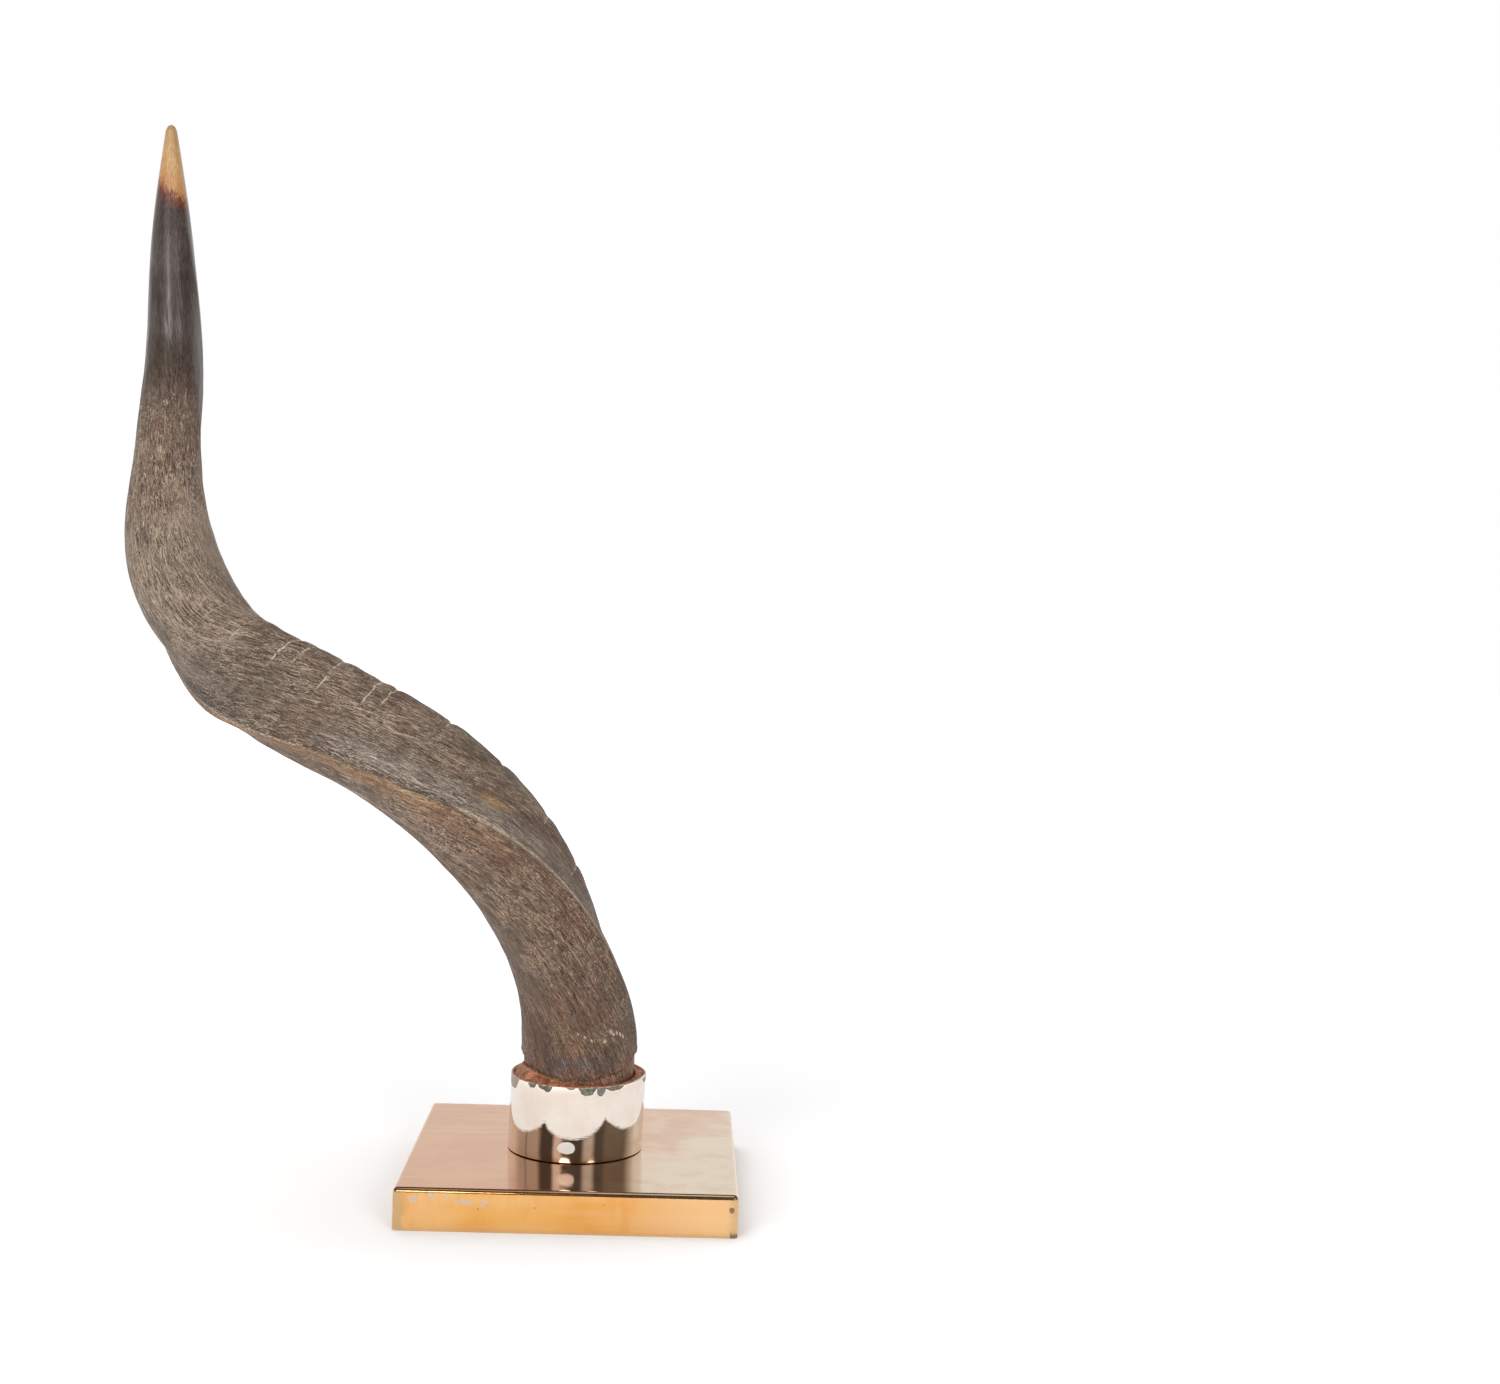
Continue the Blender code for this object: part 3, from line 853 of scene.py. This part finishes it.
def compound_finish(look):
    """Crumbly setting compound, orange-brown with darker pits."""
    material, net, shader = new_finish("setting_compound", {"IOR": 1.45})
    spot = net.add("ShaderNodeTexCoord").out("Object")
    lumps = cloud(spot, 190.0, 5.0, 0.65)
    grit = cloud(spot, 900.0, 3.0, 0.6)
    wash = cloud(spot, 45.0, 3.0, 0.6)
    shade = lumps * 0.6 + grit * 0.4
    colour = ramp(shade, (0.34, tone(84, 46, 30)), (0.46, tone(138, 84, 56)), (0.55, look.compound),
                  (0.68, tone(226, 172, 128)))
    colour = mix(rise(wash, 0.5, 0.7) * 0.6, colour, tone(140, 112, 92))
    feed(shader, Base_Color=colour, Roughness=0.5 + lumps * 0.5, Normal=relief(shade, 0.9 * MM))
    return material


class SettingSettings(bpy.types.PropertyGroup):
    """The ferrule and what fills it."""

    sides: count_choice("Sides", "Faces round the ferrule", 256, 32, 512)
    wall: length_choice("Wall", "Thickness of the ferrule's wall", 1.5 * MM, 0.0005)
    lip: length_choice("Lip", "Rounding of the ferrule's edges", 0.45 * MM, 0.0001)
    lump_height: length_choice("Lump height", "How far the filling stands up in lumps", 1.2 * MM)
    climb_front: length_choice("Climb", "How far the filling climbs the horn", 1.6 * MM)
    climb_left: length_choice("Climb on the left", "How far it climbs on the horn's left", 6.5 * MM)
    nickel: colour_choice("Nickel", "Colour of the polished ferrule", 233, 222, 211)
    tarnish: colour_choice("Tarnish", "Stain below the rim", 104, 103, 91)
    compound: colour_choice("Compound", "Colour of the setting compound", 188, 128, 92)


class MOUNT_OT_setting(bpy.types.Operator):
    """Turn the ferrule and fill it round the horn's root"""

    bl_idname = "mount.setting"
    bl_label = "Turn the ferrule and fill it"

    def execute(self, context):
        look = context.scene.setting_look
        low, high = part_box("ferrule")
        height = high.z - low.z
        outer = (high.y - low.y) / 2
        lean = (high.x - low.x - 2 * outer) / height
        inner = outer - look.wall
        lip = look.lip
        steps = 4

        def corner(radius, level, start):
            arc = [math.radians(start + 90 * i / steps) for i in range(steps + 1)]
            return [(radius + lip * math.cos(a), level + lip * math.sin(a)) for a in arc]

        outside = [(outer, low.z + lip + (height - 2 * lip) * i / 10) for i in range(1, 10)]
        profile = (corner(outer - lip, low.z + lip, -90) + outside + corner(outer - lip, high.z - lip, 0)
                   + corner(inner + lip, high.z - lip, 90) + corner(inner + lip, low.z + lip, 180))
        ring = turned_mesh("ferrule_band", profile, look.sides, lean)
        new_piece("ferrule_band", ring, nickel_finish(look), "ferrule")

        plug = put("filling_form", merged_copy("bedding", "filling_form"))
        remesh = plug.modifiers.new("even faces", "REMESH")
        remesh.mode = "VOXEL"
        remesh.voxel_size = FILLING_GRAIN
        mesh = plain_mesh(plug, "setting_fill")
        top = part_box("bedding")[1].z
        place = np.zeros(len(mesh.vertices) * 3)
        mesh.vertices.foreach_get("co", place)
        place = place.reshape(-1, 3)
        for point in place:
            near_top = max(0.0, 1 - (top - point[2]) / LUMP_REACH)
            if near_top > 0:
                lump = lattice.fractal(Vector(point) * 130, 1.0, 2.0, 4)
                fine = lattice.noise(Vector(point) * 500)
                inwards = min(1.0, max(0.0, (CLIMB_FROM - math.hypot(point[0], point[1])) / CLIMB_WIDTH))
                leftwards = max(0.0, -point[0]) / CLIMB_FROM
                climb = inwards ** 1.5 * (look.climb_front + (look.climb_left - look.climb_front) * leftwards)
                point[2] += ((0.7 + lump * 0.6 + fine * 0.25) * look.lump_height + climb) * near_top
        mesh.vertices.foreach_set("co", place.ravel())
        mesh.shade_smooth()
        mesh.update()
        new_piece("setting_fill", mesh, compound_finish(look), "bedding")
        return {"FINISHED"}


# Foot

def rounded_steps(half, radius, flat_steps, arc_steps, both=True):
    """Places along one side of a box, closer together over its rounded edges."""
    core = half - radius
    arc = [core + radius * math.tan(math.pi / 4 * k / arc_steps) for k in range(1, arc_steps + 1)]
    middle = np.linspace(-core if both else -half, core, flat_steps + 1).tolist()
    return ([-a for a in reversed(arc)] if both else []) + middle + arc


def cover_mesh(low, high, radius, sheet, waviness):
    """Five sides of a box with rounded edges, slightly wavy, open underneath and given thickness."""
    half = (high - low) / 2
    centre = (high + low) / 2
    flat = rounded_steps(half.x, radius, 44, 7)
    tall = rounded_steps(half.z, radius, 10, 7, both=False)
    form = bmesh.new()

    def face_grid(first, second, place):
        grid = [[form.verts.new(place(a, b)) for b in second] for a in first]
        for i in range(len(first) - 1):
            for j in range(len(second) - 1):
                form.faces.new((grid[i][j], grid[i + 1][j], grid[i + 1][j + 1], grid[i][j + 1]))

    face_grid(flat, flat, lambda a, b: (a, b, half.z))
    for sign in (-1, 1):
        face_grid(flat, tall, lambda a, b: (-sign * a, sign * half.y, b))
        face_grid(flat, tall, lambda a, b: (sign * half.x, sign * a, b))
    bmesh.ops.remove_doubles(form, verts=form.verts, dist=0.00002)
    core = Vector((half.x - radius, half.y - radius, half.z - radius))
    for vert in form.verts:
        p = vert.co.copy()
        inner = Vector((max(-core.x, min(core.x, p.x)), max(-core.y, min(core.y, p.y)), min(core.z, p.z)))
        out = (p - inner).normalized()
        wave = lattice.fractal(Vector((p.x * 17, p.y * 23, p.z * 30 + 5)), 1.0, 2.0, 2)
        vert.co = inner + out * (radius - waviness * (0.5 + 0.5 * max(-1, min(1, wave)))) + centre
        vert.co.z = max(vert.co.z, low.z + 0.01 * MM)
    bmesh.ops.recalc_face_normals(form, faces=form.faces)
    if sum(face.normal.z for face in form.faces) < 0:
        bmesh.ops.reverse_faces(form, faces=form.faces)
    mesh = mesh_of(form, "foot_cover")
    mesh.shade_smooth()
    shell = put("foot_cover_form", mesh)
    thick = shell.modifiers.new("sheet", "SOLIDIFY")
    thick.thickness = sheet
    thick.offset = -1
    finished = plain_mesh(shell, "foot_cover")
    finished.set_sharp_from_angle(angle=math.radians(60))
    return finished


def brass_finish(look):
    """Polished brass: faint lines along X on the top, worn pale spots, dull corners painted greyer as
    reflections and dark pits.
    """
    material, net, shader = new_finish("polished_brass", {"Metallic": 1.0})
    low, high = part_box("base_cover")
    spot = net.add("ShaderNodeTexCoord").out("Object")
    x, y, z = parts(spot)
    from_left = (x - low.x) * 1000
    from_right = (high.x - x) * 1000
    below_top = (high.z - z) * 1000
    on_front = rise((y - low.y) * 1000, 2.4, 1.2)
    ragged = cloud(spot, 380.0, 4.0, 0.65)
    wash = cloud(spot, 22.0, 4.0, 0.6)
    grain = cloud(net.vector(x * 40, y * 2600, z * 2600), 1.0, 4.0, 0.6)
    bands = cloud(net.vector(x * 6, y * 110, z * 110), 1.0, 3.0, 0.6)

    def spots(rows):
        found = 0.0
        for left, down, half_wide, half_high in rows:
            away = net.math("SQRT", ((from_left - left) / half_wide) ** 2
                            + ((below_top - down) / half_high) ** 2)
            found = most(rise(away + (ragged - 0.5) * 2.2, 1.12, 0.84), found)
        return found * on_front

    brass = mix(rise(wash, 0.35, 0.68), look.brass, tone(231, 162, 80))
    # Painted reflection: the top is painted pinker on the left and paler on the right, for what its polished
    # face reflects
    on_top = rise(below_top, 2.2, 0.6)
    across = rise(x + (wash - 0.5) * 0.12 - y * 0.25, -0.02, 0.11)
    top_reflection = mix(across, look.top_left_reflection, look.top_right_reflection)
    top_reflection = mix(rise(wash, 0.58, 0.42) * 0.4, top_reflection, tone(214, 158, 126))
    brass = over(
        brass,
        (on_top, top_reflection),
        (rise(bands, 0.45, 0.7) * 0.28, tone(236, 200, 160)),
    )
    pale = spots(PALE_SPOTS)
    dark = spots(DARK_SPOTS)
    # Painted reflection: the front's corners are painted greyer; they are also made duller
    corner = (rise(from_left + (ragged - 0.5) * 7, 8.0, 5.0)
              + rise(from_right + (ragged - 0.5) * 6, 7.0, 2.0) * 0.8) * on_front
    # Painted reflection: a darker band along the rounded top edge, broken up by noise
    edge_dark_reflection = rise(below_top, 3.4, 2.4) * rise(ragged, 0.45, 0.6) * rise(below_top, 0.5, 1.4)
    foot_wear = rise(below_top + (ragged - 0.5) * 2.5, 23.2, 24.6)
    faded = most(rise(x + (wash - 0.5) * 0.10, 0.01, 0.09),
                 rise(from_left + (wash - 0.5) * 60, 42, 14) * 0.5) * on_front
    brass = mix(faded * 0.55, brass, tone(244, 208, 164))
    drips = rise(cloud(net.vector(x * 46, 3.0, z * 14), 1.0, 3.0, 0.6), 0.54, 0.70) * on_front
    brass = mix(drips * 0.35, brass, tone(226, 146, 66))
    colour = over(
        brass,
        (corner * 0.65, tone(196, 168, 128)),
        (edge_dark_reflection * 0.35, tone(170, 130, 90)),
        (foot_wear * 0.6, tone(222, 186, 140)),
        (pale * 0.85, tone(222, 194, 176)),
        (dark * 0.75, tone(100, 96, 80)),
    )
    pits = rise(cloud(spot, 620.0, 2.0, 0.5), 0.715, 0.76)
    colour = mix(pits * 0.3, colour, tone(120, 84, 50))
    dull = least(pale * 0.8 + dark + corner * 0.5, 1.0)
    roughness = look.polish + (grain - 0.5) * 0.07 + rise(wash, 0.4, 0.7) * 0.05
    roughness = roughness * (1 - dull) + 0.36 * dull
    feed(shader, Base_Color=colour, Roughness=roughness,
         Normal=relief(grain * 0.35 + wash * 1.5 - dull * 0.5, 0.03 * MM))
    return material


def wood_finish(look):
    """Plain sawn wood with long grain."""
    material, net, shader = new_finish("core_wood", {"IOR": 1.45})
    x, y, z = parts(net.add("ShaderNodeTexCoord").out("Object"))
    drift = cloud(net.vector(x * 6, y * 22, z * 22), 1.0, 3.0, 0.6)
    rings = net.math("SINE", y * 420 + drift * 16)
    pores = cloud(net.vector(x * 90, y * 2200, z * 2200), 1.0, 3.0, 0.6)
    colour = mix(rings * 0.5 + 0.5, look.wood, tone(124, 88, 56))
    colour = mix(rise(pores, 0.55, 0.68) * 0.6, colour, tone(84, 58, 38))
    feed(shader, Base_Color=colour, Roughness=0.6 + pores * 0.3, Normal=relief(pores, 0.3 * MM))
    return material


class FootSettings(bpy.types.PropertyGroup):
    """The foot's cover and core."""

    edge_radius: length_choice("Edge radius", "Rounding of the cover's edges", 3.0 * MM, 0.0005)
    sheet: length_choice("Sheet", "Thickness of the metal cover", 1.2 * MM, 0.0003)
    waviness: length_choice("Waviness", "How far the sheet dips", 0.12 * MM)
    polish: bpy.props.FloatProperty(name="Polish", description="Roughness of the clean metal", default=0.09,
                                    min=0, max=1, subtype="FACTOR")
    brass: colour_choice("Brass", "Colour of the cover", 240, 182, 106)
    # Painted reflection: the top's two colours, pinker on the left and paler on the right
    top_left_reflection: colour_choice("Pink brass", "Colour of the top's left side", 227, 176, 137)
    top_right_reflection: colour_choice("Pale brass", "Colour of the top's worn right side", 238, 219, 193)
    wood: colour_choice("Wood", "Colour of the core", 156, 118, 80)


class MOUNT_OT_foot(bpy.types.Operator):
    """Fold the foot's cover and finish its core"""

    bl_idname = "mount.foot"
    bl_label = "Fold the foot's cover"

    def execute(self, context):
        look = context.scene.foot_look
        low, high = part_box("base_cover")
        mesh = cover_mesh(low, high, look.edge_radius, look.sheet, look.waviness)
        new_piece("foot_cover", mesh, brass_finish(look), "base_cover")
        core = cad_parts["base_block"]
        wood = wood_finish(look)
        for holder in core.material_slots:
            holder.material = wood
        return {"FINISHED"}


# Stage

class StageSettings(bpy.types.PropertyGroup):
    """Floor, lights and camera."""

    floor_side: length_choice("Floor side", "Side of the square floor", 14.0, 1)
    key: strength_choice("Key light", "Power of the left front light in watts", 27.0)
    fill: strength_choice("Fill light", "Power of the right front light in watts", 18.0)
    overhead: strength_choice("Overhead light", "Power of the overhead light in watts", 16.0)
    glow: strength_choice("Glow", "Brightness of the lights in gloss", 6.0)
    surroundings: strength_choice("Surroundings", "Brightness of the room", 0.85)


def soft_light(name, place, target, size, power, shape="DISK", mirrored=False):
    """A round or square light that faces a point. It either lights things or only shows in their gloss."""
    lamp = bpy.data.lights.new(name, "AREA")
    lamp.shape = shape
    lamp.size = size
    lamp.energy = power
    thing = put(name, lamp)
    thing.location = place
    thing.rotation_euler = (Vector(target) - Vector(place)).to_track_quat("-Z", "Y").to_euler()
    thing.visible_camera = False
    thing.visible_glossy = mirrored
    thing.visible_diffuse = not mirrored


def surroundings(strength):
    """White behind, pale overhead and dim in front, where a room would be. The camera sees plain white.

    Mirrors see a dark ceiling between the white wall behind and the light overhead.
    """
    world = bpy.data.worlds.new("studio")
    world.use_nodes = True
    world.node_tree.nodes.clear()
    net = Net(world.node_tree)
    toward = net.add("ShaderNodeTexCoord").out("Generated")
    x, y, z = parts(toward)
    bearing = net.math("ARCTAN2", x, -y) / (2 * math.pi) + 0.5
    room = ramp(bearing, *[(0.5 + degrees / 360, (value, value * warm, value * warm * warm))
                           for degrees, value, warm in ROOM])
    above = rise(z, 0.70, 0.92)
    colour = mix(above, room, tone(235, 235, 238))
    path = net.add("ShaderNodeLightPath")
    ceiling = rise(z, 0.38, 0.50) * rise(z, 0.985, 0.95) * path.out("Is Glossy Ray")
    colour = mix(ceiling, colour, (0.10, 0.085, 0.075))
    seen = path.out("Is Camera Ray")
    lit = net.add("ShaderNodeBackground", None, {"Color": colour, "Strength": strength})
    plain = net.add("ShaderNodeBackground", None, {"Color": (1.0, 1.0, 1.0), "Strength": 1.0})
    both = net.add("ShaderNodeMixShader", None, {0: seen, 1: lit, 2: plain})
    net.add("ShaderNodeOutputWorld", None, {"Surface": both})
    bpy.context.scene.world = world


def place_camera():
    """The photograph's own view."""
    turn_cos, turn_sin = math.cos(CAMERA_YAW), math.sin(CAMERA_YAW)
    dip_cos, dip_sin = math.cos(CAMERA_PITCH), math.sin(CAMERA_PITCH)
    ahead = Vector((dip_cos * turn_sin, dip_cos * turn_cos, -dip_sin))
    level_right = Vector((turn_cos, -turn_sin, 0))
    level_up = Vector((dip_sin * turn_sin, dip_sin * turn_cos, dip_cos))
    roll_cos, roll_sin = math.cos(CAMERA_ROLL), math.sin(CAMERA_ROLL)
    right = level_right * roll_cos - level_up * roll_sin
    up = level_right * roll_sin + level_up * roll_cos
    lens = bpy.data.cameras.new("camera")
    lens.lens = CAMERA_LENS
    lens.sensor_width = 36
    lens.sensor_fit = "HORIZONTAL"
    camera = put("camera", lens)
    camera.matrix_world = Matrix.Translation(CAMERA_PLACE) @ Matrix((right, up, -ahead)).transposed().to_4x4()
    bpy.context.scene.camera = camera


class MOUNT_OT_stage(bpy.types.Operator):
    """Lay the floor and set the lights and the camera"""

    bl_idname = "mount.stage"
    bl_label = "Set the stage"

    def execute(self, context):
        look = context.scene.stage_look
        half = look.floor_side / 2
        mesh = bpy.data.meshes.new("floor")
        corners = [(-half, -half, 0), (half, -half, 0), (half, half, 0), (-half, half, 0)]
        mesh.from_pydata(corners, [], [(0, 1, 2, 3)])
        floor = put("floor", mesh)
        paper, net, shader = new_finish("floor_paper", {"Roughness": 0.9, "Emission Strength": 1.0})
        spot = net.add("ShaderNodeTexCoord").out("Object")
        mottle = cloud(spot, 3.0, 2.0)
        away = net.add("ShaderNodeVectorMath", {"operation": "LENGTH"}, {0: spot}).out("Value")
        glow = rise(away, 0.15, 1.1) * 0.30 + rise(away, 0.8, 3.0) * 0.45 + 0.09
        feed(shader, Base_Color=mix(mottle, (0.90, 0.90, 0.90), (0.92, 0.92, 0.92)),
             Emission_Color=mix(glow, (0.0, 0.0, 0.0), (1.0, 1.0, 1.0)))
        mesh.materials.append(paper)
        surroundings(look.surroundings)
        soft_light("key_light", (-1.15, -2.15, 1.05), AIM, 1.3, look.key)
        soft_light("fill_light", (1.05, -2.15, 0.95), AIM, 1.0, look.fill)
        soft_light("overhead_light", (-0.3, 0.1, 2.1), (-0.1, 0, 0), 1.8, look.overhead, "SQUARE")
        soft_light("key_glow", (-0.50, -1.85, 1.05), AIM_HIGH, 0.65, look.glow, mirrored=True)
        soft_light("fill_glow", (0.95, -1.6, 1.15), AIM_HIGH, 0.5, look.glow * FILL_GLOW_SHARE, mirrored=True)
        place_camera()
        context.scene.view_settings.view_transform = "Standard"
        return {"FINISHED"}


class MOUNT_PT_panel(bpy.types.Panel):
    """Lists the pieces and their settings"""

    bl_idname = "MOUNT_PT_panel"
    bl_label = "Mounted horn"
    bl_space_type = "VIEW_3D"
    bl_region_type = "UI"
    bl_category = "Horn"

    def draw(self, context):
        for kind, (holder, _) in zip(OPERATORS, SETTINGS):
            box = self.layout.box()
            box.operator(kind.bl_idname)
            look = getattr(context.scene, holder)
            for name in look.__annotations__:
                box.prop(look, name)


OPERATORS = (MOUNT_OT_stage, MOUNT_OT_foot, MOUNT_OT_setting, MOUNT_OT_horn)
SETTINGS = (("stage_look", StageSettings), ("foot_look", FootSettings), ("setting_look", SettingSettings),
            ("horn_look", HornSettings))


def register():
    for holder, kind in SETTINGS:
        bpy.utils.register_class(kind)
        setattr(bpy.types.Scene, holder, bpy.props.PointerProperty(type=kind))
    for kind in (*OPERATORS, MOUNT_PT_panel):
        bpy.utils.register_class(kind)


def unregister():
    for kind in (MOUNT_PT_panel, *reversed(OPERATORS)):
        bpy.utils.unregister_class(kind)
    for holder, kind in reversed(SETTINGS):
        delattr(bpy.types.Scene, holder)
        bpy.utils.unregister_class(kind)


def main():
    register()
    bpy.ops.mount.stage()
    bpy.ops.mount.foot()
    bpy.ops.mount.setting()
    bpy.ops.mount.horn()


if __name__ == "__main__":
    main()
